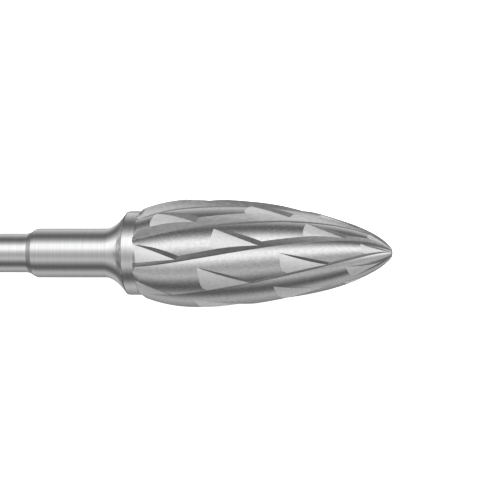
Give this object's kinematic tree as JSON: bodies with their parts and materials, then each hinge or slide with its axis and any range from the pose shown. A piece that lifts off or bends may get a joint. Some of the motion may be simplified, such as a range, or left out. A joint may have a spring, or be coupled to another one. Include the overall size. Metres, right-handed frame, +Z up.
{
  "type": "carbide burr",
  "caption": "Flame-shaped tungsten carbide burr with helical cross-cut teeth, brazed to a turned steel shank for a handpiece.",
  "frame": {"origin": "on the surface that the burr lies on, under the middle of its outline", "axes": "+X along the burr from the shank's end to the nose, rising about 3.4 degrees with the tool's axis; +Z up"},
  "size_m": [0.0444, 0.0062, 0.0063],
  "materials": {
    "steel": "polished stainless steel",
    "braze": "dull filler metal",
    "carbide": "satin ground carbide with a polished collar"
  },
  "bodies": {
    "root": {"steel_shank": "steel", "braze_seam": "braze", "carbide_head": "carbide"}
  },
  "joints": []
}
